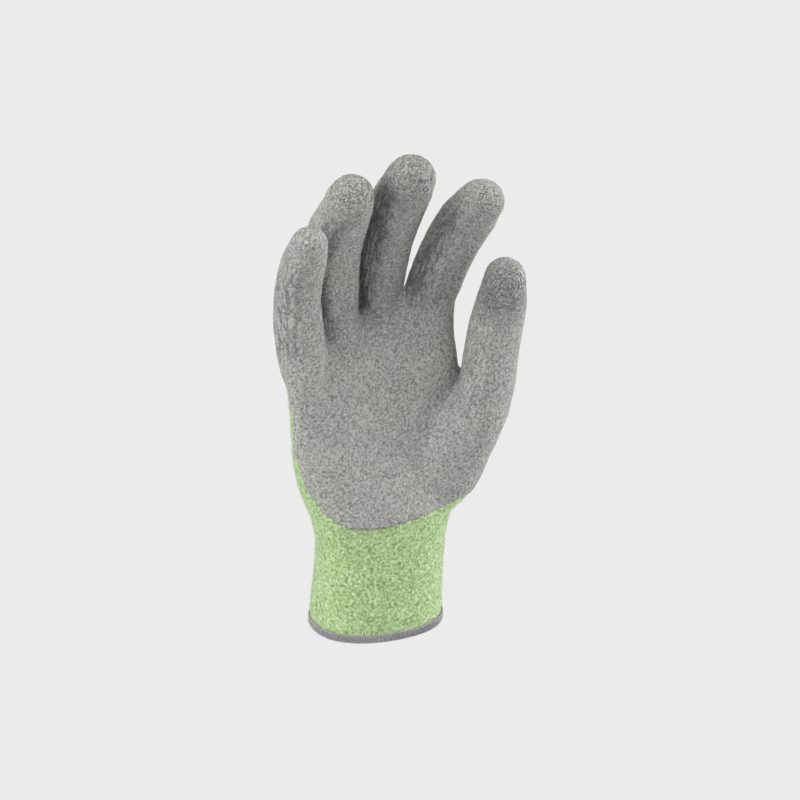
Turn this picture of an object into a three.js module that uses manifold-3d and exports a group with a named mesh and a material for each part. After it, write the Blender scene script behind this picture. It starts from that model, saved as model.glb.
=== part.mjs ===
// A right-hand work glove: a seamless knitted liner, a rubber palm dip and an overlocked hem.
// Millimetres. Fingers up is +Z, the palm faces -Y, the thumb side is +X.
// The origin is the middle of the wrist opening, in the plane of the hem.
import * as THREE from "three";
import { mergeVertices } from "three/addons/utils/BufferGeometryUtils.js";
import Module from "manifold-3d";

const wasm = await Module();
wasm.setup();

// Cloth and rubber
const knitWall = 1.9;
const dipGap = 0.3;
const dipWall = 1.0;

// Hem: overlock thread folded round the raw edge of the cuff
const hemThread = 0.9;
const hemGap = 0.3;
const hemHeight = 4.8;

// Lower edge of the rubber across the palm heel: low in the middle, steep up the little-finger side
const dipLine = [
  { x: -60, z: 150 },
  { x: -46, z: 112 },
  { x: -42.5, z: 94 },
  { x: -36, z: 75 },
  { x: -28, z: 64 },
  { x: -14, z: 60 },
  { x: 5, z: 61.2 },
  { x: 26, z: 65 },
  { x: 45, z: 71 },
  { x: 70, z: 80 },
];
const dipLineSteps = 24;

// Bare back: how far behind the middle of a finger or the hand the rubber ends, as a share of its half depth
const fingerEdge = 0.5;
const handEdge = 0.4;
// Rubber that wraps over each fingertip
const tipWrap = 17;
const windowClear = 0.55;
const handClear = 12;

// Facets
const digitSides = 12;
const handSides = 32;
const digitStep = 14.5;
const handStep = 15;
const domeSteps = 3;
const reach = 200;
// Corners nearer than this are one
const weld = 2e-3;
const weldPasses = 3;

// Cuff and palm, section by section up from the hem.
// shift and back move the middle, arch bends the edges towards the palm, tilt drops the little-finger side.
const hand = [
  { z: 0, halfWidth: 34.1, halfDepth: 28.0, shift: 0.0, back: 0.0, arch: 0.0, tilt: 0 },
  { z: 20, halfWidth: 33.9, halfDepth: 26.2, shift: 1.0, back: 0.0, arch: 0.0, tilt: 0 },
  { z: 42, halfWidth: 33.8, halfDepth: 25.2, shift: 2.6, back: 0.2, arch: 0.0, tilt: 0 },
  { z: 57, halfWidth: 35.6, halfDepth: 23.6, shift: 3.2, back: 0.6, arch: 0.6, tilt: 0 },
  { z: 72, halfWidth: 39.6, halfDepth: 21.4, shift: 1.4, back: 1.2, arch: 2.0, tilt: 0 },
  { z: 93, halfWidth: 42.2, halfDepth: 18.8, shift: -0.4, back: 2.2, arch: 5.0, tilt: 2 },
  { z: 120, halfWidth: 43.4, halfDepth: 16.4, shift: -1.6, back: 3.0, arch: 8.0, tilt: 8 },
  { z: 142, halfWidth: 43.6, halfDepth: 13.4, shift: -5.2, back: 3.6, arch: 10.5, tilt: 16 },
  { z: 154, halfWidth: 45.0, halfDepth: 10.6, shift: -6.0, back: 3.6, arch: 12.0, tilt: 20 },
];
const knuckleCap = 10;
const handSquareness = 0.86;

// Digits: each starts inside the palm. Rows give the distance along the digit, the lean to the thumb side,
// the bend towards the palm, in degrees, and the half width of the knit.
const depthShare = 0.97;
const digits = [
  {
    name: "little", x: -38.4, y: -6.0, z: 122,
    rows: [
      { along: 0, lean: -8, bend: 4.6, half: 5.5 },
      { along: 20, lean: -6.5, bend: 3, half: 9.8 },
      { along: 42, lean: -5.4, bend: 1, half: 10.6 },
      { along: 63, lean: -4.4, bend: 26.5, half: 9.6 },
      { along: 82, lean: -4.1, bend: 39.5, half: 9.1 },
      { along: 97.2, lean: -4.8, bend: 41.3, half: 7.1 },
    ],
  },
  {
    name: "ring", x: -18.4, y: 1.0, z: 142,
    rows: [
      { along: 0, lean: -4.8, bend: -5.8, half: 10.6 },
      { along: 22, lean: -4.8, bend: -5.8, half: 10.8 },
      { along: 50.5, lean: -3.1, bend: 14.5, half: 12.0 },
      { along: 76, lean: 0.2, bend: 43.2, half: 11.9 },
      { along: 96.9, lean: 1.3, bend: 41.9, half: 8.2 },
    ],
  },
  {
    name: "middle", x: 1.7, y: 5.0, z: 141,
    rows: [
      { along: 0, lean: 3.6, bend: 2, half: 9.2 },
      { along: 28, lean: 3.6, bend: 2.7, half: 9.3 },
      { along: 56.6, lean: 3.4, bend: 14.6, half: 10.8 },
      { along: 82.2, lean: 3.6, bend: 37.4, half: 11.7 },
      { along: 103.3, lean: 3.2, bend: 52.6, half: 10.1 },
    ],
  },
  {
    name: "index", x: 20.6, y: 0.3, z: 142,
    rows: [
      { along: 0, lean: 16.3, bend: 1, half: 11.2 },
      { along: 23, lean: 16.3, bend: 1, half: 11.4 },
      { along: 48.3, lean: 16.9, bend: 16.7, half: 11.1 },
      { along: 71, lean: 16.8, bend: 35.5, half: 11.3 },
      { along: 89.7, lean: 17.4, bend: 51.6, half: 9.7 },
    ],
  },
  {
    name: "thumb", x: 20.9, y: -3.3, z: 52.4,
    rows: [
      { along: 0, lean: 29.6, bend: 7.9, half: 7.6 },
      { along: 12, lean: 28.8, bend: 8.8, half: 12.4 },
      { along: 36, lean: 24.2, bend: 10.8, half: 14.0 },
      { along: 61, lean: 19.4, bend: 17.1, half: 13.9 },
      { along: 91, lean: 5.3, bend: 3.3, half: 12.2 },
      { along: 117.5, lean: 4.9, bend: 16.0, half: 11.8 },
      { along: 139, lean: 0.0, bend: 12.3, half: 9.2 },
    ],
  },
];

// Pads of the palm heel, in the same columns: the ball of the thumb and the little-finger side
const pads = [
  {
    name: "thenar", x: 17, y: -3.0, z: 54,
    rows: [
      { along: 0, lean: 18, bend: 9, half: 8.5 },
      { along: 20, lean: 20, bend: 10, half: 13.4 },
      { along: 42, lean: 22, bend: 7, half: 14.0 },
      { along: 66, lean: 16, bend: -4, half: 8.5 },
    ],
  },
  {
    name: "hypothenar", x: -21, y: -3.0, z: 58,
    rows: [
      { along: 0, lean: -5, bend: 5, half: 8.5 },
      { along: 24, lean: -8, bend: 3, half: 12.0 },
      { along: 48, lean: -8, bend: 0, half: 11.6 },
      { along: 68, lean: -6, bend: -4, half: 8.0 },
    ],
  },
];

// Skin between the thumb and the palm, from inside the palm to the fold of the thumb
const webHigh = 1.4;
const webDeep = 0.45;
const web = [
  { x: 28, y: -1, z: 113, half: 16.0 },
  { x: 39, y: -6.5, z: 109.5, half: 15.5 },
  { x: 50, y: -14, z: 106, half: 15.0 },
];

const rad = THREE.MathUtils.degToRad;
const across = new THREE.Vector3(1, 0, 0);
const backward = new THREE.Vector3(0, 1, 0);

// A smooth value between the rows of a table, by the column named key.
function valueAt(rows, key, at, column) {
  const last = rows.length - 1;
  let i = 0;
  while (i < last - 1 && at > rows[i + 1][key]) i += 1;
  const [a, b] = [rows[i], rows[i + 1]];
  const before = rows[Math.max(i - 1, 0)];
  const after = rows[Math.min(i + 2, last)];
  const span = b[key] - a[key];
  const t = THREE.MathUtils.clamp((at - a[key]) / span, 0, 1);
  const slopeA = ((b[column] - before[column]) / (b[key] - before[key])) * span;
  const slopeB = ((after[column] - a[column]) / (after[key] - a[key])) * span;
  const [t2, t3] = [t * t, t * t * t];
  return (
    (2 * t3 - 3 * t2 + 1) * a[column] +
    (t3 - 2 * t2 + t) * slopeA +
    (3 * t2 - 2 * t3) * b[column] +
    (t3 - t2) * slopeB
  );
}

// A closed solid through rings of points, with a point in the middle of each end.
// Without an end point, the last ring is folded flat and closes by itself.
function loft(rings, startPoint, endPoint) {
  const sides = rings[0].length;
  const points = [startPoint, ...rings.flat()];
  if (endPoint) points.push(endPoint);
  const index = [];
  for (let i = 0; i < sides; i += 1) {
    const j = (i + 1) % sides;
    index.push(0, 1 + j, 1 + i);
    for (let k = 0; k < rings.length - 1; k += 1) {
      const [low, high] = [1 + k * sides, 1 + (k + 1) * sides];
      index.push(low + i, low + j, high + j, low + i, high + j, high + i);
    }
    const top = 1 + (rings.length - 1) * sides;
    if (endPoint) index.push(top + i, top + j, points.length - 1);
  }
  const geometry = new THREE.BufferGeometry().setFromPoints(points);
  geometry.setIndex(index);
  return solidOf(geometry);
}

function solidOf(geometry) {
  const bare = geometry.clone();
  bare.deleteAttribute("normal");
  bare.deleteAttribute("uv");
  const merged = mergeVertices(bare, weld);
  return new wasm.Manifold(
    new wasm.Mesh({
      numProp: 3,
      vertProperties: merged.attributes.position.array,
      triVerts: new Uint32Array(merged.index.array),
    }),
  );
}

function geometryOf(solid) {
  const made = solid.getMesh();
  const geometry = new THREE.BufferGeometry();
  const positions = new Float32Array(made.numVert * 3);
  for (let i = 0; i < made.numVert; i += 1) {
    for (let k = 0; k < 3; k += 1) positions[3 * i + k] = made.vertProperties[made.numProp * i + k];
  }
  geometry.setAttribute("position", new THREE.BufferAttribute(positions, 3));
  geometry.setIndex(new THREE.BufferAttribute(new Uint32Array(made.triVerts), 1));
  return geometry;
}

// The main body of a solid as a named mesh, without the crumbs that cutting and welding leave.
function meshOf(solid, name) {
  let main = solid;
  for (let pass = 0; pass < weldPasses; pass += 1) {
    const bodies = solidOf(geometryOf(main)).decompose();
    main = bodies.sort((a, b) => b.volume() - a.volume())[0];
  }
  const mesh = new THREE.Mesh(geometryOf(main), new THREE.MeshStandardMaterial());
  mesh.name = name;
  return mesh;
}

const signedPower = (v, p) => Math.sign(v) * Math.abs(v) ** p;

// A rounded section of half size 1, as places across and back from its middle.
// With a front above -1 it is the part behind that share of the depth, closed by a straight line.
function outline(sides, phase, squareness, front) {
  const start = front > -1 ? Math.asin(front ** (1 / squareness)) : 0;
  return Array.from({ length: sides }, (_, i) => {
    const turn = ((i + phase) / sides) * 2 * Math.PI;
    if (front > -1 && turn > Math.PI) {
      return { x: Math.cos(turn) * Math.cos(start) ** squareness, y: front };
    }
    const angle = front > -1 ? start + (turn / Math.PI) * (Math.PI - 2 * start) : turn;
    return { x: signedPower(Math.cos(angle), squareness), y: signedPower(Math.sin(angle), squareness) };
  });
}

// The sections of the cuff and palm at even heights, read off the table.
function handSections() {
  const top = hand[hand.length - 1];
  const count = Math.round(top.z / handStep);
  return Array.from({ length: count + 1 }, (_, i) => {
    const section = { z: (i / count) * top.z };
    for (const column of ["halfWidth", "halfDepth", "shift", "back", "arch", "tilt"]) {
      section[column] = valueAt(hand, "z", section.z, column);
    }
    return section;
  });
}

// A flat outline set at one section of the palm, bent with its arch.
function handRing(section, flat, rise) {
  const wide = across.clone().applyAxisAngle(backward, -rad(section.tilt));
  const up = new THREE.Vector3().crossVectors(wide, backward);
  const middle = new THREE.Vector3(section.shift, section.back, section.z).addScaledVector(up, rise);
  return flat.map((spot) => {
    const bow = section.arch * (spot.x / section.halfWidth) ** 2;
    return middle.clone().addScaledVector(wide, spot.x).addScaledVector(backward, spot.y - bow);
  });
}

function handOutline(halfWidth, halfDepth) {
  return outline(handSides, 0, handSquareness, -1).map((spot) => {
    return { x: spot.x * halfWidth, y: spot.y * halfDepth };
  });
}

// The cuff and palm, all its surface moved out by grow.
function handSolid(grow) {
  const sections = handSections();
  const top = sections[sections.length - 1];
  const rings = sections.map((s) => handRing(s, handOutline(s.halfWidth + grow, s.halfDepth + grow), 0));
  for (let i = 1; i <= domeSteps; i += 1) {
    const angle = (i / domeSteps) * (Math.PI / 2);
    const thin = i < domeSteps ? Math.cos(angle) : 0;
    const wide = top.halfWidth - top.halfDepth + (top.halfDepth + grow) * thin;
    rings.push(handRing(top, handOutline(wide, (top.halfDepth + grow) * thin), (knuckleCap + grow) * Math.sin(angle)));
  }
  return loft(rings, new THREE.Vector3(hand[0].shift, hand[0].back, hand[0].z));
}

// All that lies on the palm side of the edge of the rubber along the hand.
function handFront() {
  const sections = handSections();
  const top = sections[sections.length - 1];
  const edgeSteps = handSides / 2;
  const ring = (section, rise) => {
    const half = section.halfWidth + handClear;
    const edge = Array.from({ length: edgeSteps + 1 }, (_, i) => {
      return { x: half * (1 - (2 * i) / edgeSteps), y: handEdge * section.halfDepth };
    });
    return handRing(section, [...edge, { x: -half, y: -reach }, { x: half, y: -reach }], rise);
  };
  const rings = [...sections.map((s) => ring(s, 0)), ring(top, knuckleCap + handClear)];
  const inFront = (section, rise) => handRing(section, [{ x: 0, y: -reach / 2 }], rise)[0];
  return loft(rings, inFront(sections[0], 0), inFront(top, knuckleCap + handClear));
}

// The line through the middle of a digit, as places with the frame and half width at each.
function digitLine(digit, length) {
  const places = [];
  const place = new THREE.Vector3(digit.x, digit.y, digit.z);
  const fine = 12;
  const steps = Math.round(length / digitStep) * fine;
  for (let i = 0; i <= steps; i += 1) {
    const along = (i / steps) * length;
    const lean = rad(valueAt(digit.rows, "along", along, "lean"));
    const bend = rad(valueAt(digit.rows, "along", along, "bend"));
    const ahead = new THREE.Vector3(
      Math.sin(lean) * Math.cos(bend),
      -Math.sin(bend),
      Math.cos(lean) * Math.cos(bend),
    );
    if (i > 0) place.addScaledVector(ahead, length / steps);
    if (i % fine === 0) {
      const wide = new THREE.Vector3().crossVectors(backward, ahead).normalize();
      const deep = new THREE.Vector3().crossVectors(ahead, wide);
      const half = valueAt(digit.rows, "along", along, "half");
      places.push({ at: place.clone(), ahead, wide, deep, half });
    }
  }
  return places;
}

function digitRing(place, halfWidth, halfDepth, forward, front) {
  const phase = front > -1 ? 0 : 0.5;
  return outline(digitSides, phase, 1, front).map((spot) => {
    return place.at
      .clone()
      .addScaledVector(place.ahead, forward)
      .addScaledVector(place.wide, spot.x * halfWidth)
      .addScaledVector(place.deep, spot.y * halfDepth);
  });
}

// One digit with a round tip, all its surface moved out by grow.
function digitSolid(digit, grow) {
  const length = digit.rows[digit.rows.length - 1].along;
  const line = digitLine(digit, length);
  const rings = line.map((p, i) => {
    return digitRing(p, p.half + grow, p.half * depthShare + grow, i === 0 ? -grow : 0, -1);
  });
  const tip = line[line.length - 1];
  for (let i = 1; i <= domeSteps; i += 1) {
    const angle = (i / (domeSteps + 1)) * (Math.PI / 2);
    const small = Math.cos(angle);
    const [wide, deep] = [(tip.half + grow) * small, (tip.half * depthShare + grow) * small];
    rings.push(digitRing(tip, wide, deep, (tip.half + grow) * Math.sin(angle), -1));
  }
  return loft(rings, line[0].at.clone().addScaledVector(line[0].ahead, -grow), tip.at.clone().addScaledVector(tip.ahead, tip.half + grow));
}

// The bare strip along the back of a digit, which stops short of the tip.
function digitWindow(digit) {
  const length = digit.rows[digit.rows.length - 1].along;
  const tipHalf = digit.rows[digit.rows.length - 1].half;
  const grow = dipGap + dipWall + windowClear;
  const line = digitLine(digit, length + tipHalf - tipWrap);
  const rings = line.map((p) => digitRing(p, p.half + grow, p.half * depthShare + grow, 0, fingerEdge));
  const [first, last] = [line[0], line[line.length - 1]];
  const middle = (p) => p.at.clone().addScaledVector(p.deep, (p.half + grow) * ((1 + fingerEdge) / 2));
  return loft(rings, middle(first), middle(last));
}

function webSolid(grow) {
  const ends = [];
  const rings = web.map((w, i) => {
    const next = web[Math.min(i + 1, web.length - 1)];
    const last = web[Math.max(i - 1, 0)];
    const ahead = new THREE.Vector3(next.x - last.x, next.y - last.y, next.z - last.z).normalize();
    const deep = new THREE.Vector3().crossVectors(ahead, new THREE.Vector3(0, 0, 1)).normalize();
    const wide = new THREE.Vector3().crossVectors(deep, ahead);
    const place = { at: new THREE.Vector3(w.x, w.y, w.z), ahead, wide, deep };
    const forward = i === 0 ? -grow : i === web.length - 1 ? grow : 0;
    ends.push(place.at.clone().addScaledVector(ahead, forward));
    return digitRing(place, w.half * webHigh + grow, w.half * webDeep + grow, forward, -1);
  });
  return loft(rings, ends[0], ends[ends.length - 1]);
}

// The whole outline of the hand in its glove, moved out by grow.
function gloveSolid(grow) {
  let whole = handSolid(grow).add(webSolid(grow));
  for (const digit of [...digits, ...pads]) whole = whole.add(digitSolid(digit, grow));
  return whole;
}

// All that lies below the lower edge of the rubber.
function belowDipLine() {
  const [first, last] = [dipLine[0], dipLine[dipLine.length - 1]];
  const line = Array.from({ length: dipLineSteps + 1 }, (_, i) => {
    const x = first.x + (i / dipLineSteps) * (last.x - first.x);
    return new THREE.Vector2(x, valueAt(dipLine, "x", x, "z"));
  });
  const shape = new THREE.Shape([new THREE.Vector2(first.x, -reach), new THREE.Vector2(last.x, -reach), ...line.reverse()]);
  const block = new THREE.ExtrudeGeometry(shape, { depth: 2 * reach, bevelEnabled: false });
  block.rotateX(Math.PI / 2);
  block.translate(0, reach, 0);
  return solidOf(block);
}

function slab(low, high) {
  const box = new THREE.BoxGeometry(2 * reach, 2 * reach, high - low);
  box.translate(0, 0, (low + high) / 2);
  return solidOf(box);
}

const hemBottom = hemThread + hemGap;

function knitLiner() {
  return gloveSolid(0).subtract(gloveSolid(-knitWall)).subtract(slab(-reach, hemBottom));
}

function rubberDip() {
  let skin = gloveSolid(dipGap + dipWall).subtract(gloveSolid(dipGap));
  skin = skin.subtract(handSolid(dipGap + dipWall + windowClear).subtract(handFront()));
  for (const digit of digits) skin = skin.subtract(digitWindow(digit));
  return skin.subtract(belowDipLine());
}

function hemOverlock() {
  const thread = handSolid(hemGap + hemThread).subtract(handSolid(-knitWall - hemGap - hemThread));
  const slot = handSolid(hemGap).subtract(handSolid(-knitWall - hemGap)).subtract(slab(-reach, hemThread));
  return thread.subtract(slot).subtract(slab(hemHeight, 2 * reach));
}

const glove = new THREE.Group();
glove.name = "glove";
glove.add(meshOf(knitLiner(), "knit_liner"));
glove.add(meshOf(rubberDip(), "latex_coating"));
glove.add(meshOf(hemOverlock(), "hem_overlock"));

export default glove;
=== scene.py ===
"""A latex dipped knit work glove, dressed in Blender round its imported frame. Metres, +Z up the hand."""
import math

import bmesh
import bpy
import numpy as np
from mathutils import Matrix, Vector, kdtree, noise
from mathutils.bvhtree import BVHTree


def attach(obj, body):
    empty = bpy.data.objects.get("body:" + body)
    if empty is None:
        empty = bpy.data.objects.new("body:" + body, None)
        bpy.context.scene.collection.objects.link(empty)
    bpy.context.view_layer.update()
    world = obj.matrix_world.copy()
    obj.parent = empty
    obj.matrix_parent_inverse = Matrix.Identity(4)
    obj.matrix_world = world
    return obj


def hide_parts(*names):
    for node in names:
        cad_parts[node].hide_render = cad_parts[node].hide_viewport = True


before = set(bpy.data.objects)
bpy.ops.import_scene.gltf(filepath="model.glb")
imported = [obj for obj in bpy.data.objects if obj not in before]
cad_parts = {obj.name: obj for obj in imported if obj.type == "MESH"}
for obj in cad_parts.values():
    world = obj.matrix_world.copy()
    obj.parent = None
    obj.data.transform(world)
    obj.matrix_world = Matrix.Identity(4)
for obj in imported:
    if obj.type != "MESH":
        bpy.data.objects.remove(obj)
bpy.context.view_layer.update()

MM = 0.001

# Camera, as fitted to the outline of the glove in the photograph
AZIMUTH = math.radians(-24.0)
ELEVATION = math.radians(19.0)
DISTANCE = 1150 * MM
TARGET = Vector((11.2, -5.0, 118.0)) * MM
LENS_MM = 105.0
SENSOR_MM = 36.0

# The photograph's own right, and the way from the glove to its camera
RIGHT = Vector((math.cos(AZIMUTH), math.sin(AZIMUTH), 0))
BACK = Vector((
    math.sin(AZIMUTH) * math.cos(ELEVATION), -math.cos(AZIMUTH) * math.cos(ELEVATION), math.sin(ELEVATION)
))

# Base surface
KNIT_VOXEL = 1.2 * MM
INNER_VOXEL = 1.8 * MM
RUBBER_VOXEL = 0.74 * MM
KNIT_WALL = 1.9 * MM
WALL_BOTTOM = 1.0 * MM
SMOOTH_LENGTH = 6.0 * MM
SWELL = 0.45 * MM
WELD = 0.002 * MM
FLAT = 0.01 * MM
SKIRT = 9 * MM

# How far the left and right sides of the photograph are drawn in at each height, in millimetres
SIDES = [
    (-10, 0.2, 1.2), (8, 0.6, 1.3), (25, 1.3, 1.5), (45, 1.6, 1.6), (57, 0.9, 0.4), (66, 0.2, -2.2),
    (76, -0.4, -1.9), (88, -0.9, -0.2), (100, -1.0, 0), (125, -0.7, 0), (140, 0, 0),
]
SIDE_HALF = 30 * MM

# Rubber and its edge
RUBBER_RISE = 1.15 * MM
UNDER_RUBBER = 0.3 * MM
EDGE_REACH = 1.0 * MM
FINGER_REACH = 1.8 * MM
EDGE_ROLL = 1.5 * MM
EDGE_SUNK = 0.25 * MM
RAGGED_IN = 0.3 * MM
WRAP_TURN = 1.95
ROOT_TURN = 0.45
ROOT_BLEND = 22 * MM

# Where the rubber reaches further on the fingers and on the thumb, fading in over each range in millimetres
FINGER_HIGH = (118, 134)
THUMB_HIGH, THUMB_X = (84, 96), (28, 36)

# Bare strip up the little finger's side and bare web behind the thumb, fading in over ranges in millimetres
STRIP_X, STRIP_LOW, STRIP_HIGH = (-26, -32), (72, 80), (146, 128)
STRIP_TURN = 0.56
STRIP_SLOPE = 9 * MM
WEB_X, WEB_Y, WEB_HIGH = (10, 16), (-2, 2), (104, 90)
WEB_RISE = 6 * MM

# Drape of the digits, by the turn in radians from the palm side
RIDGE_TURN, RIDGE_SWAY, RIDGE_WIDTH, RIDGE_RISE = 0.50, 0.16, 0.34, 1.75 * MM
FLANK_TURN, FLANK_WIDTH, FLANK_DIP = 0.85, 0.42, 0.9 * MM
FRONT_TURN, FRONT_WIDTH, FRONT_DIP = -0.72, 0.40, 0.45 * MM
REAR_TURN, REAR_WIDTH, REAR_DIP = 2.6, 0.6, 0.15 * MM
SIDE_TURN, SIDE_WIDTH = -1.1, 0.6

# For each digit, little finger first: where its drape, folds and wrapped rubber begin, in millimetres
DRAPE_START = [26, 18, 18, 18, 76]
FOLD_START = [24, 16, 16, 16, 58]
WRAP_START = [14, 14, 14, 14, 64]

# For each digit: how strong its drape and its folds are
DRAPE_SHARE = [0.5, 1.0, 1.0, 1.0, 0.45]
FOLD_SHARE = [1.0, 1.0, 1.0, 1.0, 0.5]

# For each digit: how far its right side and its tip stand out, in millimetres
SIDE_RISE = [0.3, 0.9, 1.4, 1.7, 0.4]
TIP_RISE = [0.2, 1.3, 0.3, 0.1, -0.3]

# Palm: middle in millimetres, size and rise of its hollow and pads
MOUNDS = [
    ((4, -18, 112), 17, -3.2), ((14, -18, 88), 15, -1.2),
    ((-32, -18, 92), 20, 0.9), ((34, -24, 88), 17, 0.6),
]
MOUND_SHAPE = np.array([1, 0.5, 0.85])
PALM_DEPTH = 6 * MM
SLOW_RISE = 0.35 * MM

# Folds of the rubber: along the flanks, in rings round the fingertips, and their pitch in the material
FOLD_DEPTH = 0.5 * MM
FOLD_TURN, FOLD_WIDTH = 1.05, 0.62
FOLD_ROUND, FOLD_LONG = 2.3 * MM, 11 * MM
RING_DEPTH = 0.42 * MM
RING_PITCH = 1.25 * MM
FOLD_PITCH = 1.7 * MM
FOLD_WAVER = 14.0

# Layers of noise: rise and size in millimetres, and seed
TUFTS = [(0.16, 2.4, 7.0), (0.12, 4.6, 9.0)]
RAGGED = [(0.8, 4.4, 2.0), (0.9, 1.9, 4.0)]
CRINKLE = [(0.13, 2.3, 5.0), (0.10, 1.35, 17.0)]

# How deep the knit sinks under the rubber, and over which distances from it the tufts and fibres begin
KNIT_SUNK = -0.5 * MM
SUNK_RANGE = (0.9, 0.4)
TUFT_RANGE = (0.9, 2.2)
FUZZ_FROM = 1.6 * MM
FUZZ_BOTTOM = 5 * MM

# Overlocked hem
HEM_PITCH = 1.22 * MM
HEM_LEAN = 1.1 * MM
HEM_THREAD = 0.37 * MM
HEM_LEVEL, HEM_SLICE = 5.5 * MM, 1.2 * MM
HEM_BINS = 120
BAND_STEPS = 240
LOOPER_THREAD = 0.24 * MM

# Section of the hem's folded band, as out from the cuff and up, in millimetres
HEM_BAND = [
    (0.30, 4.45), (0.42, 4.0), (0.46, 2.6), (0.42, 1.2), (0.2, 0.55), (-1.0, 0.42),
    (-2.2, 0.55), (-2.55, 1.2), (-2.55, 3.8), (-2.3, 4.3),
]
# Course of one wrap of thread, as out, up, and how much of the lean it has
HEM_COURSE = [
    (0.35, 4.62, 1.0), (0.66, 4.30, 0.92), (0.80, 3.4, 0.68), (0.84, 2.3, 0.40), (0.80, 1.3, 0.14),
    (0.52, 0.62, 0.02), (-0.2, 0.38, 0.0), (-1.2, 0.36, 0.0), (-2.1, 0.55, 0.02), (-2.62, 1.2, 0.12),
    (-2.70, 2.4, 0.42), (-2.66, 3.6, 0.75), (-2.35, 4.4, 0.95),
]

# Loose fibres
FUZZ_COUNT = 42000
FUZZ_SEED = 41
FUZZ_LENGTH = (0.7, 1.5)
FUZZ_WIDTH = 0.06 * MM
FUZZ_ROOT = 0.15 * MM

# Studio
PALE = 0.831
AMBIENT = 0.585
FLOOR = -0.9
FLOOR_HALF = 14.0
DOME_RADIUS = 13.0
AIM = (0.01, -0.005, 0.13)
LIGHTS = [
    ("left_box", (-1.20, -0.22, 0.40), 0.9, 13.5),
    ("right_box", (1.20, -0.38, 0.28), 0.9, 15.5),
    ("top_box", (0.15, -0.1, 1.35), 0.8, 8.0),
    ("low_box", (0.50, -0.60, -0.90), 1.0, 2.0),
]

# Digits: where each starts inside the palm, in millimetres, and rows of the distance along it,
# its lean to the thumb side and its bend towards the palm, in degrees
DIGITS = {
    "little": ((-38.4, -6.0, 122), [
        (0, -8, 4.6), (20, -6.5, 3), (42, -5.4, 1), (63, -4.4, 26.5), (82, -4.1, 39.5), (97.2, -4.8, 41.3),
    ]),
    "ring": ((-18.4, 1.0, 142), [
        (0, -4.8, -5.8), (22, -4.8, -5.8), (50.5, -3.1, 14.5), (76, 0.2, 43.2), (96.9, 1.3, 41.9),
    ]),
    "middle": ((1.7, 5.0, 141), [
        (0, 3.6, 2), (28, 3.6, 2.7), (56.6, 3.4, 14.6), (82.2, 3.6, 37.4), (103.3, 3.2, 52.6),
    ]),
    "index": ((20.6, 0.3, 142), [
        (0, 16.3, 1), (23, 16.3, 1), (48.3, 16.9, 16.7), (71, 16.8, 35.5), (89.7, 17.4, 51.6),
    ]),
    "thumb": ((20.9, -3.3, 52.4), [
        (0, 29.6, 7.9), (12, 28.8, 8.8), (36, 24.2, 10.8), (61, 19.4, 17.1), (91, 5.3, 3.3),
        (117.5, 4.9, 16.0), (139, 0.0, 12.3),
    ]),
}
LINE_STEPS = 120
LINE_POINT = 15

# Rings of small folds: their middle in millimetres, their axis, and how far they reach and how deep they are
TIPS = {
    "little": ((-47.4, -37.7, 214.3), (-0.06, -0.66, 0.75), 14, 0.45),
    "ring": ((-24.0, -29.0, 233.0), (0.02, -0.67, 0.74), 20, 0.9),
    "middle": ((6.0, -31.0, 239.5), (0.03, -0.79, 0.61), 22, 1.0),
    "index": ((46.0, -36.0, 222.0), (0.19, -0.78, 0.59), 17, 0.6),
    "thumb": ((51.5, -38.5, 180.0), (-0.2, -0.9, 0.3), 24, 0.85),
}


def coordinates(mesh):
    flat = np.empty(len(mesh.vertices) * 3)
    mesh.vertices.foreach_get("co", flat)
    return flat.reshape(-1, 3)


def normals(mesh):
    flat = np.empty(len(mesh.vertices) * 3)
    mesh.vertices.foreach_get("normal", flat)
    return flat.reshape(-1, 3)


def move_to(mesh, places):
    mesh.vertices.foreach_set("co", places.ravel())
    mesh.update()


def edges_of(mesh):
    flat = np.empty(len(mesh.edges) * 2, dtype=np.int64)
    mesh.edges.foreach_get("vertices", flat)
    return flat.reshape(-1, 2)


def averaged(values, edges, count):
    """The mean of each point's neighbours."""
    ends = np.concatenate([edges[:, 0], edges[:, 1]])
    others = np.concatenate([edges[:, 1], edges[:, 0]])
    number = np.maximum(np.bincount(ends, minlength=count), 1)
    if values.ndim == 1:
        return np.bincount(ends, values[others], count) / number
    return np.stack([np.bincount(ends, column[others], count) / number for column in values.T], 1)


def step(low, high, values):
    t = np.clip((values - low) / (high - low), 0, 1)
    return t * t * (3 - 2 * t)


def within(values, ends):
    """From 0 at the first end to 1 at the second, which are in millimetres."""
    return step(ends[0] * MM, ends[1] * MM, values)


def hill(values, middle, width):
    return np.exp(-(((values - middle) / width) ** 2))


def each(values, number):
    """One value for each point, by the number of its digit."""
    return np.array(values)[number]


def noise_at(points, scale, seed=0.0):
    """Smooth noise from -1 to 1, with features about as large as scale."""
    return np.array([noise.noise(Vector(p)) for p in points / scale + seed])


def layered(points, layers):
    return sum(rise * MM * noise_at(points, size * MM, seed) for rise, size, seed in layers)


def new_object(name, mesh):
    made = bpy.data.objects.new(name, mesh)
    bpy.context.scene.collection.objects.link(made)
    return made


def mesh_from(name, points, faces):
    mesh = bpy.data.meshes.new(name)
    mesh.from_pydata([tuple(p) for p in points], [], [tuple(int(i) for i in f) for f in faces])
    mesh.update()
    return mesh


def smooth_shaded(mesh):
    mesh.polygons.foreach_set("use_smooth", [True] * len(mesh.polygons))


def node_arrays(name):
    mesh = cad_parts[name].data
    points = coordinates(mesh)
    mesh.calc_loop_triangles()
    tris = np.empty(len(mesh.loop_triangles) * 3, dtype=np.int64)
    mesh.loop_triangles.foreach_get("vertices", tris)
    keys = np.round(points / WELD).astype(np.int64)
    _, first, back = np.unique(keys, axis=0, return_index=True, return_inverse=True)
    return points[first], back.reshape(-1)[tris.reshape(-1, 3)]


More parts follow.
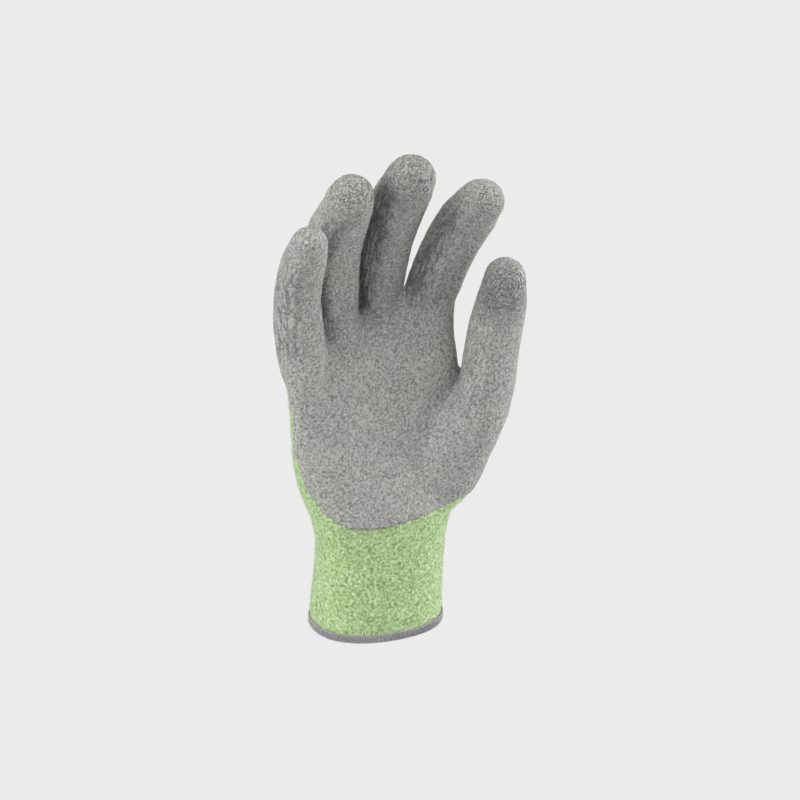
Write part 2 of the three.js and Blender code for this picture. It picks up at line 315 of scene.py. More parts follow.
def islands(tris, count):
    parent = np.arange(count)

    def root(i):
        while parent[i] != i:
            parent[i] = parent[parent[i]]
            i = parent[i]
        return i

    for a, b, c in tris:
        ra = root(a)
        parent[root(b)] = ra
        parent[root(c)] = ra
    return np.array([root(i) for i in range(count)])


def outer_hand():
    """The outside of the knit as one closed mesh, with a lid at the hem."""
    points, tris = node_arrays("knit_liner")
    low = points[:, 2].min()
    flat = (points[tris][:, :, 2] < low + FLAT).all(1)
    sides = tris[~flat]
    group = islands(sides, len(points))
    groups = group[sides[:, 0]]
    best = max(set(groups), key=lambda g: np.ptp(points[sides[groups == g].ravel()][:, 0]))
    outside = sides[groups == best]
    rim = {}
    for a, b, c in outside:
        for i, j in ((a, b), (b, c), (c, a)):
            rim[(i, j)] = rim.get((i, j), 0) + 1
    lid = [(j, i) for (i, j) in rim if (j, i) not in rim]
    lowest = sorted({i for i, _ in lid})
    below = {i: len(points) + k for k, i in enumerate(lowest)}
    skirt = points[lowest] - np.array([0, 0, SKIRT])
    middle = len(points) + len(lowest)
    points = np.vstack([points, skirt, [skirt.mean(0)]])
    faces = [tuple(f) for f in outside]
    for i, j in lid:
        faces += [(i, j, below[j]), (i, below[j], below[i]), (below[i], below[j], middle)]
    return mesh_from("hand_source", points, faces)


def remeshed(mesh, voxel):
    source = new_object("remesh_source", mesh)
    change = source.modifiers.new("voxels", "REMESH")
    change.mode = "VOXEL"
    change.voxel_size = voxel
    depsgraph = bpy.context.evaluated_depsgraph_get()
    done = bpy.data.meshes.new_from_object(source.evaluated_get(depsgraph))
    bpy.data.objects.remove(source)
    return done


def relaxed(places, edges, rounds, share=0.6):
    for _ in range(rounds):
        places = places + share * (averaged(places, edges, len(places)) - places)
    return places


def shaped(points):
    """The cuff and heel of the hand drawn in or let out sideways, height by height."""
    sideways = np.array(RIGHT)
    across = points @ sideways
    heights, lefts, rights = np.array(SIDES).T
    left = np.interp(points[:, 2] / MM, heights, lefts)
    right = np.interp(points[:, 2] / MM, heights, rights)
    shift = left * np.clip(-across / SIDE_HALF, 0, 1) - right * np.clip(across / SIDE_HALF, 0, 1)
    return points + (shift * MM)[:, None] * sideways


def skin(mesh, voxel):
    """The hand's surface remeshed evenly, its facets smoothed out, and swelled back to its size."""
    done = remeshed(mesh, voxel)
    edges = edges_of(done)
    rounds = round(SMOOTH_LENGTH ** 2 / voxel ** 2)
    once = relaxed(coordinates(done), edges, rounds)
    places = shaped(2 * once - relaxed(once, edges, rounds))
    move_to(done, places)
    out = relaxed(normals(done), edges, 3)
    out /= np.linalg.norm(out, axis=1)[:, None]
    return done, places + out * SWELL, out


def row_value(rows, at, column):
    """A column of the rows at a distance along a digit, on a smooth curve through the rows."""
    last = len(rows) - 1
    i = 0
    while i < last - 1 and at > rows[i + 1][0]:
        i += 1
    a, b = rows[i], rows[i + 1]
    before, after = rows[max(i - 1, 0)], rows[min(i + 2, last)]
    span = b[0] - a[0]
    t = min(max((at - a[0]) / span, 0), 1)
    leave = (b[column] - before[column]) / (b[0] - before[0]) * span
    arrive = (after[column] - a[column]) / (after[0] - a[0]) * span
    ends = (2 * t**3 - 3 * t * t + 1) * a[column] + (3 * t * t - 2 * t**3) * b[column]
    return ends + (t**3 - 2 * t * t + t) * leave + (t**3 - t * t) * arrive


def middle_line(start, rows):
    """A digit's middle line, as points to a tenth of a millimetre."""
    x, y, z = start
    stride = rows[-1][0] / LINE_STEPS
    line = [start]
    for i in range(1, LINE_STEPS + 1):
        lean = math.radians(row_value(rows, i * stride, 1))
        bend = math.radians(row_value(rows, i * stride, 2))
        x += math.sin(lean) * math.cos(bend) * stride
        y -= math.sin(bend) * stride
        z += math.cos(lean) * math.cos(bend) * stride
        if i % LINE_POINT == 0:
            line.append((round(x, 1), round(y, 1), round(z, 1)))
    return line


class Digits:
    """Where points lie on the digits."""

    def __init__(self):
        starts, ends, numbers, alongs, lengths = [], [], [], [], []
        for number, (start, rows) in enumerate(DIGITS.values()):
            line = np.array(middle_line(start, rows)) * MM
            steps = np.linalg.norm(np.diff(line, axis=0), axis=1)
            total = np.concatenate([[0], np.cumsum(steps)])
            for i in range(len(line) - 1):
                starts.append(line[i])
                ends.append(line[i + 1])
                numbers.append(number)
                alongs.append(total[i])
                lengths.append(total[-1])
        self.a = np.array(starts)
        self.b = np.array(ends)
        self.number = np.array(numbers)
        self.along = np.array(alongs)
        self.length = np.array(lengths)

    def find(self, points):
        """Digit number, metres along it and left to its end, turn round it and distance from its middle."""
        ab = self.b - self.a
        size = np.linalg.norm(ab, axis=1)
        best = np.full(len(points), np.inf)
        which = np.zeros(len(points), dtype=int)
        share = np.zeros(len(points))
        for i in range(len(self.a)):
            t = np.clip((points - self.a[i]) @ ab[i] / size[i] ** 2, 0, 1)
            far = np.linalg.norm(points - self.a[i] - t[:, None] * ab[i], axis=1)
            nearer = far < best
            best[nearer] = far[nearer]
            which[nearer] = i
            share[nearer] = t[nearer]
        ahead = (ab / size[:, None])[which]
        wide = np.cross(np.array([0.0, 1.0, 0.0]), ahead)
        wide /= np.linalg.norm(wide, axis=1)[:, None]
        deep = np.cross(ahead, wide)
        off = points - (self.a[which] + share[:, None] * ab[which])
        turn = np.arctan2(-(off * wide).sum(1), -(off * deep).sum(1))
        along = self.along[which] + share * size[which]
        return self.number[which], along, self.length[which] - along, turn, best


def drape(points, where):
    """How far the worn fabric stands out from the smooth form, in metres."""
    number, along, left, turn, _ = where
    on_digit = step(0, 14 * MM, along - each(DRAPE_START, number) * MM) * step(2 * MM, 16 * MM, left)
    sway = noise_at(np.stack([along, number * 0.05, 0 * along], 1), 17 * MM, 3.1)
    ridge = RIDGE_TURN + RIDGE_SWAY * sway
    crown = np.exp(-np.abs((turn - ridge) / RIDGE_WIDTH) ** 1.5)
    dips = FLANK_DIP * hill(turn - ridge, FLANK_TURN, FLANK_WIDTH)
    dips += FRONT_DIP * hill(turn - ridge, FRONT_TURN, FRONT_WIDTH)
    dips += REAR_DIP * hill(np.abs(turn), REAR_TURN, REAR_WIDTH)
    out = on_digit * each(DRAPE_SHARE, number) * (RIDGE_RISE * crown - dips)
    side = hill(turn, SIDE_TURN, SIDE_WIDTH) * step(14 * MM, 40 * MM, along) * step(0, 10 * MM, left)
    tip = step(13 * MM, 2 * MM, left)
    out += (each(SIDE_RISE, number) * side + each(TIP_RISE, number) * tip) * MM
    palm = np.clip(-points[:, 1] / PALM_DEPTH, 0, 1)
    for place, size, rise in MOUNDS:
        far = np.linalg.norm((points - np.array(place) * MM) * MOUND_SHAPE, axis=1)
        out += palm * rise * MM * hill(far, 0, size * MM)
    slow = noise_at(points, 26 * MM, 11.0)
    return out + SLOW_RISE * slow * (0.4 + 0.6 * step(20 * MM, 45 * MM, points[:, 2]))


def ringed(points):
    """Rings of folds round the fingertips, from -1 in a crease to about 0.5 between them."""
    rings = np.zeros(len(points))
    for place, axis, reach_mm, force in TIPS.values():
        axis = np.array(axis) / np.linalg.norm(axis)
        off = points - np.array(place) * MM
        distance = np.linalg.norm(off, axis=1)
        weight = force * step(reach_mm * MM, 0.35 * reach_mm * MM, distance)
        cross = off - (off @ axis)[:, None] * axis
        cross /= np.maximum(np.linalg.norm(cross, axis=1), 1e-6)[:, None]
        use = weight > 0.01
        x, y, z = cross[use].T * 1.9
        feed = np.stack([distance[use] / RING_PITCH + 2.0 * x, y + 5.0, z + x], 1)
        rings[use] += weight[use] * (0.45 - 1.9 * np.abs(noise_at(feed, 1.0)))
    return rings


def creased(points, where):
    """How far the rubber's folds and crinkle stand out, in metres, and how deep in a crease each point is,
    for the painted shade in the rubber's colour.
    """
    number, along, left, turn, far = where
    on_digit = step(0, 12 * MM, along - each(FOLD_START, number) * MM) * step(1 * MM, 12 * MM, left)
    flank = on_digit * (hill(turn, FOLD_TURN, FOLD_WIDTH) + 0.22)
    round_by = np.stack([turn * far / FOLD_ROUND, along / FOLD_LONG, number * 7.0], 1)
    groove = flank * hill(noise_at(round_by, 1.0), 0, 0.2) * each(FOLD_SHARE, number)
    rings = ringed(points)
    patches = 0.55 + 0.45 * noise_at(points, 16 * MM, 29.0)
    crinkle = layered(points, CRINKLE) * (0.55 + 0.6 * np.clip(patches, 0, 1))
    out = FOLD_DEPTH * (0.35 * flank - groove) + RING_DEPTH * rings + crinkle
    return out, np.clip(groove + 0.7 * np.clip(-rings, 0, 1), 0, 1)


def cut_at_zero(points, faces, field):
    """Keeps the triangles where field is negative, cut along the line where it is zero."""
    inside = field < 0
    count = inside[faces].sum(1)
    kept = [tuple(f) for f in faces[count == 3]]
    extra, made = [], {}
    base = len(points)

    def crossing(i, j):
        key = (min(i, j), max(i, j))
        if key not in made:
            t = -field[key[0]] / (field[key[1]] - field[key[0]])
            made[key] = base + len(extra)
            extra.append((key[0], key[1], min(max(t, 0.02), 0.98)))
        return made[key]

    for f in faces[(count == 1) | (count == 2)]:
        loop = []
        for k in range(3):
            i, j = int(f[k]), int(f[(k + 1) % 3])
            if inside[i]:
                loop.append(i)
            if inside[i] != inside[j]:
                loop.append(crossing(i, j))
        kept.append(tuple(loop[:3]))
        if len(loop) == 4:
            kept.append((loop[0], loop[2], loop[3]))
    return np.array(kept), extra


def extended(values, extra):
    """The values with those of the points that a cut added."""
    i, j, t = (np.array(c) for c in zip(*extra))
    t = t[:, None] if values.ndim > 1 else t
    return np.concatenate([values, values[i] * (1 - t) + values[j] * t])


def triangles(mesh):
    mesh.calc_loop_triangles()
    flat = np.empty(len(mesh.loop_triangles) * 3, dtype=np.int64)
    mesh.loop_triangles.foreach_get("vertices", flat)
    return flat.reshape(-1, 3)


def tree_of(name):
    points, tris = node_arrays(name)
    return BVHTree.FromPolygons([Vector(p) for p in points], [tuple(int(i) for i in t) for t in tris])


def distances(tree, points):
    return np.array([tree.find_nearest(Vector(p))[3] for p in points])


def packed(points, faces):
    """Only the points that faces use, and the faces with their new numbers."""
    used = np.unique(faces)
    new = np.full(len(points), -1)
    new[used] = np.arange(len(used))
    return used, new[faces]


def above_hem(places, tris):
    return tris[(places[tris][:, :, 2] > WALL_BOTTOM).all(1)]


def bareness(points, out, where, tree, edges):
    """How far each point is from the rubber, in metres, about 0.3 mm under it."""
    number, along, _, turn, far = where
    field = relaxed(distances(tree, 2 * points - shaped(points)), edges, 5)
    start = each(WRAP_START, number) * MM
    wrap = WRAP_TURN - ROOT_TURN * step(start + ROOT_BLEND, start, along)
    behind = np.clip(np.abs(turn) - wrap, 0, 2) * far + np.clip(start - along, 0, 1)
    field = np.minimum(field, UNDER_RUBBER + behind)
    x, y, z = points.T
    strip = within(x, STRIP_X) * within(z, STRIP_LOW) * within(z, STRIP_HIGH)
    web = within(x, WEB_X) * within(y, WEB_Y) * within(z, WEB_HIGH)
    hidden = np.clip(STRIP_TURN - out @ np.array(BACK), -0.06, 0.6)
    return field + STRIP_SLOPE * strip * hidden + WEB_RISE * web


class Nodes:
    """Short hand for a material's node tree."""

    def __init__(self, name):
        self.material = bpy.data.materials.new(name)
        self.material.use_nodes = True
        self.tree = self.material.node_tree
        self.shader = self.tree.nodes["Principled BSDF"]
        self.place = self.add("ShaderNodeTexCoord").outputs["Object"]

    def add(self, kind, **values):
        node = self.tree.nodes.new(kind)
        for key, value in values.items():
            setattr(node, key, value)
        return node

    def link(self, a, b):
        self.tree.links.new(a, b)

    def noise(self, size_mm, detail=2.0, roughness=0.5, stretch=(1, 1, 1)):
        turn = self.add("ShaderNodeMapping")
        turn.inputs["Scale"].default_value = stretch
        self.link(self.place, turn.inputs["Vector"])
        made = self.add("ShaderNodeTexNoise")
        made.inputs["Scale"].default_value = 1000.0 / size_mm
        made.inputs["Detail"].default_value = detail
        made.inputs["Roughness"].default_value = roughness
        self.link(turn.outputs["Vector"], made.inputs["Vector"])
        return made.outputs["Fac"]

    def ramp(self, value, stops):
        made = self.add("ShaderNodeValToRGB")
        parts = made.color_ramp.elements
        parts[0].position, parts[0].color = stops[0][0], (*stops[0][1], 1)
        parts[1].position, parts[1].color = stops[-1][0], (*stops[-1][1], 1)
        for position, colour in stops[1:-1]:
            parts.new(position).color = (*colour, 1)
        self.link(value, made.inputs["Fac"])
        return made.outputs["Color"]

    def mix(self, kind, share, a, b):
        made = self.add("ShaderNodeMix", data_type="RGBA", blend_type=kind)
        for socket, value in ((made.inputs[0], share), (made.inputs[6], a), (made.inputs[7], b)):
            if isinstance(value, bpy.types.NodeSocket):
                self.link(value, socket)
            elif isinstance(value, tuple):
                socket.default_value = (*value, 1)
            else:
                socket.default_value = value
        return made.outputs[2]

    def math(self, kind, a, b):
        made = self.add("ShaderNodeMath", operation=kind)
        for socket, value in ((made.inputs[0], a), (made.inputs[1], b)):
            if isinstance(value, bpy.types.NodeSocket):
                self.link(value, socket)
            else:
                socket.default_value = value
        return made.outputs[0]

    def folds(self, place, reach_mm, force, waver):
        """Rings of folds round one place, fading out at their reach."""
        far = self.add("ShaderNodeVectorMath", operation="DISTANCE")
        self.link(self.place, far.inputs[0])
        far.inputs[1].default_value = [c * MM for c in place]
        turns = self.math("MULTIPLY", far.outputs["Value"], 2 * math.pi / FOLD_PITCH)
        waves = self.math("ADD", turns, self.math("MULTIPLY", waver, FOLD_WAVER))
        wave = self.math("SINE", waves, 0.0)
        fade = self.add("ShaderNodeMapRange")
        self.link(far.outputs["Value"], fade.inputs["Value"])
        fade.inputs["From Min"].default_value = 0.35 * reach_mm * MM
        fade.inputs["From Max"].default_value = reach_mm * MM
        fade.inputs["To Min"].default_value = 0.55 * force
        fade.inputs["To Max"].default_value = 0.0
        return self.math("MULTIPLY", wave, fade.outputs["Result"])

    def bump(self, height, strength, depth_mm):
        made = self.add("ShaderNodeBump")
        made.inputs["Strength"].default_value = strength
        made.inputs["Distance"].default_value = depth_mm * MM
        self.link(height, made.inputs["Height"])
        self.link(made.outputs["Normal"], self.shader.inputs["Normal"])


def rubber_material():
    m = Nodes("latex_grey")
    fine = m.noise(1.2, 2.0, 0.6)
    small = m.noise(2.1, 2.0, 0.55)
    broad = m.noise(24.0, 3.0, 0.55)
    grain = m.ramp(fine, [
        (0.32, (0.165, 0.166, 0.158)), (0.50, (0.325, 0.326, 0.314)), (0.68, (0.455, 0.456, 0.440)),
    ])
    worn = m.ramp(broad, [(0.30, (0.90, 0.90, 0.91)), (0.70, (1.08, 1.075, 1.05))])
    base = m.mix("MULTIPLY", 1.0, grain, worn)
    # Painted shade: the colour is darkened where the mesh marks its creases, the folds round the fingertips
    # and its ragged edge
    painted_shade = m.add("ShaderNodeAttribute", attribute_name="painted_shade").outputs["Fac"]
    base = m.mix("MULTIPLY", 1.0, base, m.ramp(painted_shade, [(0.0, (1, 1, 1)), (1.0, (0.55, 0.55, 0.55))]))
    m.link(base, m.shader.inputs["Base Color"])
    rough = m.ramp(small, [(0.3, (0.66, 0.66, 0.66)), (0.7, (0.82, 0.82, 0.82))])
    m.link(rough, m.shader.inputs["Roughness"])
    m.shader.inputs["Specular IOR Level"].default_value = 0.30
    height = m.math("ADD", m.math("MULTIPLY", fine, 0.6), m.math("MULTIPLY", small, 0.9))
    for place, _, reach_mm, force in TIPS.values():
        height = m.math("ADD", height, m.folds(place, reach_mm, force, small))
    m.bump(height, 1.0, 0.95)
    return m.material


def knit_material():
    m = Nodes("knit_green_melange")
    fine = m.noise(0.7, 2.0, 0.6)
    yarn = m.noise(1.45, 2.0, 0.65)
    broad = m.noise(9.0, 2.0, 0.5)
    fleck = m.ramp(yarn, [
        (0.32, (0.165, 0.280, 0.100)), (0.46, (0.330, 0.470, 0.215)),
        (0.56, (0.425, 0.570, 0.295)), (0.70, (0.635, 0.735, 0.500)),
    ])
    fibre = m.ramp(fine, [(0.30, (0.66, 0.70, 0.60)), (0.52, (1.0, 1.0, 1.0)), (0.72, (1.24, 1.22, 1.26))])
    tone = m.ramp(broad, [(0.3, (0.95, 0.97, 0.93)), (0.7, (1.05, 1.04, 1.06))])
    base = m.mix("MULTIPLY", 1.0, m.mix("MULTIPLY", 1.0, fleck, fibre), tone)
    m.link(base, m.shader.inputs["Base Color"])
    m.shader.inputs["Roughness"].default_value = 0.92
    m.shader.inputs["Specular IOR Level"].default_value = 0.12
    m.shader.inputs["Sheen Weight"].default_value = 0.42
    m.shader.inputs["Sheen Roughness"].default_value = 0.5
    m.shader.inputs["Sheen Tint"].default_value = (0.95, 0.96, 0.88, 1)
    height = m.math("ADD", m.math("MULTIPLY", yarn, 1.0), m.math("MULTIPLY", fine, 0.5))
    m.bump(height, 0.8, 0.6)
    return m.material


def fuzz_material():
    m = Nodes("knit_fuzz_fibres")
    yarn = m.noise(1.45, 2.0, 0.65)
    fleck = m.ramp(yarn, [
        (0.32, (0.290, 0.430, 0.185)), (0.50, (0.460, 0.600, 0.325)), (0.68, (0.700, 0.790, 0.570)),
    ])
    m.link(fleck, m.shader.inputs["Base Color"])
    m.shader.inputs["Roughness"].default_value = 0.9
    m.shader.inputs["Specular IOR Level"].default_value = 0.1
    m.shader.inputs["Sheen Weight"].default_value = 0.5
    m.bump(m.noise(0.4, 2.0, 0.5), 0.3, 0.1)
    return m.material


def thread_material():
    m = Nodes("overlock_thread")
    ply = m.noise(0.55, 2.0, 0.6, (1.0, 1.0, 0.35))
    tone = m.noise(5.0, 2.0, 0.5)
    colour = m.ramp(ply, [(0.3, (0.235, 0.224, 0.240)), (0.7, (0.450, 0.436, 0.455))])
    shade = m.ramp(tone, [(0.3, (0.90, 0.90, 0.90)), (0.7, (1.06, 1.06, 1.06))])
    m.link(m.mix("MULTIPLY", 1.0, colour, shade), m.shader.inputs["Base Color"])
    m.shader.inputs["Roughness"].default_value = 0.78
    m.shader.inputs["Specular IOR Level"].default_value = 0.25
    m.shader.inputs["Sheen Weight"].default_value = 0.2
    m.bump(ply, 0.6, 0.12)
    return m.material


def hem_line(points):
    """The cuff's edge as a closed line of evenly spaced points, the way out at each, and its length."""
    near = points[np.abs(points[:, 2] - HEM_LEVEL) < HEM_SLICE][:, :2]
    middle = near.mean(0)
    angle = np.arctan2(near[:, 1] - middle[1], near[:, 0] - middle[0])
    radius = np.linalg.norm(near - middle, axis=1)
    slot = ((angle + math.pi) / (2 * math.pi) * HEM_BINS).astype(int) % HEM_BINS
    turn = (np.arange(HEM_BINS) + 0.5) / HEM_BINS * 2 * math.pi - math.pi
    number = np.bincount(slot, minlength=HEM_BINS)
    full = number > 0
    mean = np.bincount(slot, radius, HEM_BINS)[full] / number[full]
    mean = np.interp(turn, turn[full], mean, period=2 * math.pi)
    for _ in range(6):
        mean = (np.roll(mean, 1) + 2 * mean + np.roll(mean, -1)) / 4
    line = middle + np.stack([np.cos(turn), np.sin(turn)], 1) * mean[:, None]
    closed = np.vstack([line, line[:1]])
    steps = np.linalg.norm(np.diff(closed, axis=0), axis=1)
    along = np.concatenate([[0], np.cumsum(steps)])

    def at(s):
        s = np.mod(s, along[-1])
        x = np.interp(s, along, closed[:, 0])
        y = np.interp(s, along, closed[:, 1])
        return np.stack([x, y], -1)

    def way(s):
        ahead = at(s + 1.5 * MM) - at(s - 1.5 * MM)
        ahead /= np.linalg.norm(ahead, axis=-1)[..., None]
        return np.stack([ahead[..., 1], -ahead[..., 0]], -1)

    return at, way, along[-1]


def tube(path, radius, sides, closed=False):
    """A tube round a path of points, as points and faces."""
    path = np.asarray(path)
    count = len(path)
    if closed:
        ahead = np.roll(path, -1, 0) - np.roll(path, 1, 0)
    else:
        ahead = np.gradient(path, axis=0)
    ahead /= np.linalg.norm(ahead, axis=1)[:, None]
    side = np.cross(ahead, np.array([0.0, 0.0, 1.0]))
    weak = np.linalg.norm(side, axis=1) < 0.3
    side[weak] = np.cross(ahead[weak], np.array([1.0, 0.0, 0.0]))
    for i in range(1, count):
        flat = side[i - 1] - ahead[i] * (side[i - 1] @ ahead[i])
        side[i] = flat
        side[i] /= np.linalg.norm(side[i])
    side[0] /= np.linalg.norm(side[0])
    up = np.cross(side, ahead)
    turns = np.arange(sides) / sides * 2 * math.pi
    rings = path[:, None] + radius * (
        np.cos(turns)[None, :, None] * side[:, None] + np.sin(turns)[None, :, None] * up[:, None]
    )
    faces = []
    for i in range(count if closed else count - 1):
        j = (i + 1) % count
        for k in range(sides):
            n = (k + 1) % sides
            faces.append((i * sides + k, j * sides + k, j * sides + n, i * sides + n))
    if not closed:
        faces.append(tuple(range(sides)))
        faces.append(tuple((count - 1) * sides + k for k in reversed(range(sides))))
    return rings.reshape(-1, 3), faces


def hem_mesh(at, way, total):
    """The overlocked edge: a folded band under wrapped thread, and the looper threads along its top."""
    points, faces = [], []
    base = 0

    def add(made, made_faces):
        nonlocal base
        points.append(made)
        faces.extend(tuple(i + base for i in f) for f in made_faces)
        base += len(made)

    s = np.arange(BAND_STEPS) / BAND_STEPS * total
    ring, out = at(s), way(s)
    rows = [np.column_stack([ring + out * d * MM, np.full(BAND_STEPS, z * MM)]) for d, z in HEM_BAND]
    band_faces = []
    for i in range(len(HEM_BAND) - 1):
        low, high = i * BAND_STEPS, (i + 1) * BAND_STEPS
        for k in range(BAND_STEPS):
            n = (k + 1) % BAND_STEPS
            band_faces.append((low + k, high + k, high + n, low + n))
    add(np.vstack(rows), band_faces)

    wraps = round(total / HEM_PITCH)
    for w in range(wraps):
        jitter = 0.12 * math.sin(w * 12.9898) + 0.072 * math.sin(w * 4.137)
        path = []
        for d, z, lean in HEM_COURSE:
            spot = np.array([w / wraps * total + lean * HEM_LEAN + jitter * MM])
            x, y = at(spot)[0] + way(spot)[0] * d * MM
            path.append((x, y, max(z * MM + 0.03 * MM * math.sin(w * 7.31), HEM_THREAD)))
        add(*tube(path, HEM_THREAD * (1 + 0.06 * math.sin(w * 3.3)), 6))

    loops = wraps * 6
    s = np.arange(loops) / loops * total
    phase = np.arange(loops) / 6 * 2 * math.pi
    ring, out = at(s), way(s)
    for rise, deep, shift in ((4.50, 0.62, 0.0), (4.28, 0.74, math.pi)):
        path = np.column_stack([
            ring + out * (deep * MM + 0.12 * MM * np.cos(phase + shift))[:, None],
            rise * MM + 0.16 * MM * np.sin(phase + shift),
        ])
        add(*tube(path, LOOPER_THREAD, 5, closed=True))
    mesh = mesh_from("overlock_hem", np.vstack(points), faces)
    smooth_shaded(mesh)
    return mesh


def fuzz_mesh(points, faces, bare, out, count):
    """Short loose fibres that stand off the bare knit."""
    rng = np.random.default_rng(FUZZ_SEED)
    tris = faces[bare[faces].all(1)]
    a, b, c = points[tris[:, 0]], points[tris[:, 1]], points[tris[:, 2]]
    area = np.linalg.norm(np.cross(b - a, c - a), axis=1)
    pick = rng.choice(len(tris), count, p=area / area.sum())
    u, v = rng.random(count), rng.random(count)
    flip = u + v > 1
    u[flip], v[flip] = 1 - u[flip], 1 - v[flip]
    root = a[pick] + u[:, None] * (b - a)[pick] + v[:, None] * (c - a)[pick]
    up = out[tris[pick]].mean(1)
    up /= np.linalg.norm(up, axis=1)[:, None]
    lean = rng.normal(size=(count, 3))
    lean -= (lean * up).sum(1)[:, None] * up
    lean /= np.linalg.norm(lean, axis=1)[:, None]
    side = np.cross(up, lean)
    length = rng.uniform(*FUZZ_LENGTH, count)[:, None] * MM
    curl = rng.uniform(-0.7, 0.7, count)[:, None]
    wide = side * FUZZ_WIDTH
    p0 = root - up * FUZZ_ROOT
    p1 = root + up * length * 0.42 + lean * length * 0.32
    p2 = root + up * length * 0.62 + lean * length * 0.85 + side * length * curl * 0.5
    ring = np.stack([p0 - wide, p0 + wide, p1 - wide * 0.9, p1 + wide * 0.9, p2], 1)
    base = np.arange(count)[:, None] * 5
    quads = np.concatenate([base + 0, base + 1, base + 3, base + 2], 1)
    ends = np.concatenate([base + 2, base + 3, base + 4], 1)
    return mesh_from("knit_fuzz", ring.reshape(-1, 3), [*quads, *ends])


def area_light(name, place, size, watts):
    data = bpy.data.lights.new(name, "AREA")
    data.shape = "DISK"
    data.size = size
    data.energy = watts
    made = bpy.data.objects.new(name, data)
    bpy.context.scene.collection.objects.link(made)
    made.location = place
    made.rotation_euler = (Vector(place) - Vector(AIM)).to_track_quat("Z", "Y").to_euler()
    made.visible_camera = False


def camera():
    up = BACK.cross(RIGHT)
    data = bpy.data.cameras.new("camera")
    data.lens = LENS_MM
    data.sensor_width = SENSOR_MM
    data.sensor_height = SENSOR_MM
    data.clip_end = 60
    made = bpy.data.objects.new("camera", data)
    turn = Matrix((RIGHT, up, BACK)).transposed().to_4x4()
    made.matrix_world = Matrix.Translation(TARGET + DISTANCE * BACK) @ turn
    bpy.context.scene.collection.objects.link(made)
    bpy.context.scene.camera = made


def staged(name, mesh, material):
    made = new_object(name, mesh)
    mesh.materials.append(material)
    made.visible_diffuse = False
    made.visible_glossy = False
    made.visible_transmission = False
    made.visible_shadow = False


def studio():
    scene = bpy.context.scene
    scene.view_settings.view_transform = "Standard"
    world = bpy.data.worlds.new("studio")
    scene.world = world
    world.use_nodes = True
    world.node_tree.nodes["Background"].inputs["Color"].default_value = (1, 1, 1, 1)
    world.node_tree.nodes["Background"].inputs["Strength"].default_value = AMBIENT
    pale = bpy.data.materials.new("studio_pale")
    pale.use_nodes = True
    shader = pale.node_tree.nodes["Principled BSDF"]
    shader.inputs["Base Color"].default_value = (0, 0, 0, 1)
    shader.inputs["Specular IOR Level"].default_value = 0
    shader.inputs["Emission Color"].default_value = (PALE, PALE, PALE, 1)
    shader.inputs["Emission Strength"].default_value = 1.0
    corners = [(x * FLOOR_HALF, y * FLOOR_HALF, FLOOR) for x, y in ((-1, -1), (1, -1), (1, 1), (-1, 1))]
    staged("floor", mesh_from("floor", corners, [(0, 1, 2, 3)]), pale)
    shape = bmesh.new()
    bmesh.ops.create_icosphere(shape, subdivisions=3, radius=DOME_RADIUS)
    bmesh.ops.reverse_faces(shape, faces=shape.faces)
    dome = bpy.data.meshes.new("backdrop")
    shape.to_mesh(dome)
    shape.free()
    staged("backdrop", dome, pale)
    for name, place, size, watts in LIGHTS:
        area_light(name, place, size, watts)


def knit_meshes(hand, digits, rubber_tree):
    """The knit with its outside and inside wall, its overlocked hem, and its loose fibres."""
    outer, places, out = skin(hand, KNIT_VOXEL)
    where = digits.find(places)
    to_rubber = bareness(places, out, where, rubber_tree, edges_of(outer))
    tufts = layered(places, TUFTS) * within(to_rubber, TUFT_RANGE) + KNIT_SUNK * within(to_rubber, SUNK_RANGE)
    full = places + out * (drape(places, where) + tufts)[:, None]
    tris = triangles(outer)
    inner, inside, inner_out = skin(hand, INNER_VOXEL)
    inside = inside + inner_out * (drape(inside, digits.find(inside)) - KNIT_WALL)[:, None]
    used, faces = packed(full, above_hem(places, tris))
    inner_used, inner_faces = packed(inside, above_hem(inside, triangles(inner))[:, ::-1])
    walls = np.vstack([full[used], inside[inner_used]])
    mesh = mesh_from("knit_glove", walls, np.vstack([faces, inner_faces + len(used)]))
    smooth_shaded(mesh)
    bare = (to_rubber > FUZZ_FROM) & (places[:, 2] > FUZZ_BOTTOM)
    hem = hem_mesh(*hem_line(places))
    fibres = fuzz_mesh(full, tris, bare, out, FUZZ_COUNT)
    for spent in (outer, inner):
        bpy.data.meshes.remove(spent)
    return mesh, hem, fibres


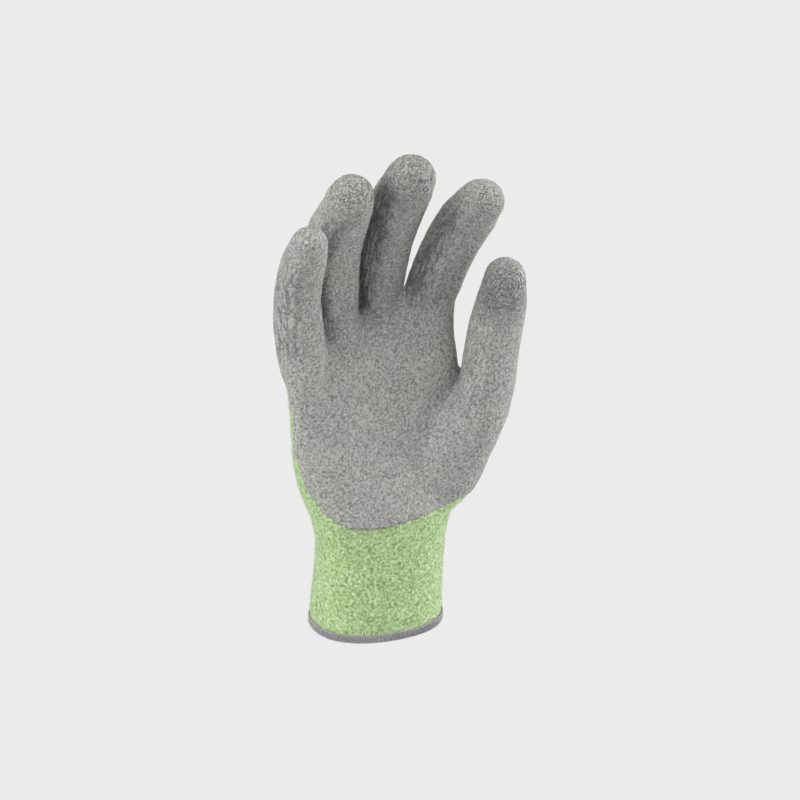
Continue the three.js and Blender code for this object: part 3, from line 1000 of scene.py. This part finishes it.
def rubber_mesh(hand, digits, rubber_tree):
    """A skin over the palm and fingertips that thins to nothing at its edge."""
    smooth, places, out = skin(hand, RUBBER_VOXEL)
    where = digits.find(places)
    field = bareness(places, out, where, rubber_tree, edges_of(smooth))
    ragged = np.minimum(layered(places, RAGGED), RAGGED_IN)
    x, height = places[:, 0], places[:, 2]
    further = np.clip(within(height, FINGER_HIGH) + within(height, THUMB_HIGH) * within(x, THUMB_X), 0, 1)
    reach = EDGE_REACH + (FINGER_REACH - EDGE_REACH) * further
    faces, extra = cut_at_zero(places, triangles(smooth), field + ragged - reach)
    bpy.data.meshes.remove(smooth)

    values = (drape(places, where), *creased(places, where))
    places, out, rise, crease, painted_shade = (extended(v, extra) for v in (places, out, *values))
    out = out / np.linalg.norm(out, axis=1)[:, None]
    rim = kdtree.KDTree(len(extra))
    for i in range(len(places) - len(extra), len(places)):
        rim.insert(Vector(places[i]), i)
    rim.balance()
    used, faces = packed(places, faces)
    inward = np.array([rim.find(Vector(places[i]))[2] for i in used])
    swell = np.sqrt(np.clip(1 - (1 - np.clip(inward / EDGE_ROLL, 0, 1)) ** 2, 0, 1))
    crease = crease[used] * step(0, 2.5 * MM, inward)
    rise = rise[used] + RUBBER_RISE * swell - EDGE_SUNK * (1 - swell) + crease
    mesh = mesh_from("rubber_coating", places[used] + out[used] * rise[:, None], faces)
    smooth_shaded(mesh)
    # Painted shade in patches along the rubber's ragged edge, kept with the painted shade of the creases in
    # one attribute that darkens the colour
    rough = np.clip(0.45 + 1.6 * noise_at(places[used], 1.6 * MM, 31.0), 0, 1)
    edge_shade = 0.8 * rough * step(1.5 * MM, 0.3 * MM, inward)
    # Painted shade per point, the deeper of the crease shade and the edge shade, which the material
    # multiplies into the colour
    mesh.attributes.new("painted_shade", "FLOAT", "POINT").data.foreach_set("value", np.maximum(painted_shade[used], edge_shade))
    return mesh


camera()
studio()

hand = outer_hand()
digits = Digits()
rubber_tree = tree_of("latex_coating")
liner, hem, fibres = knit_meshes(hand, digits, rubber_tree)
coat = rubber_mesh(hand, digits, rubber_tree)
bpy.data.meshes.remove(hand)

for mesh, node, slot, material in (
    (liner, "knit_liner", "knit", knit_material()),
    (coat, "latex_coating", "latex", rubber_material()),
    (hem, "hem_overlock", "overlock", thread_material()),
    (fibres, None, "knit", fuzz_material()),
):
    piece = new_object(mesh.name, mesh)
    piece.data.materials.append(material)
    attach(piece, "root")
    if node:
        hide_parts(node)
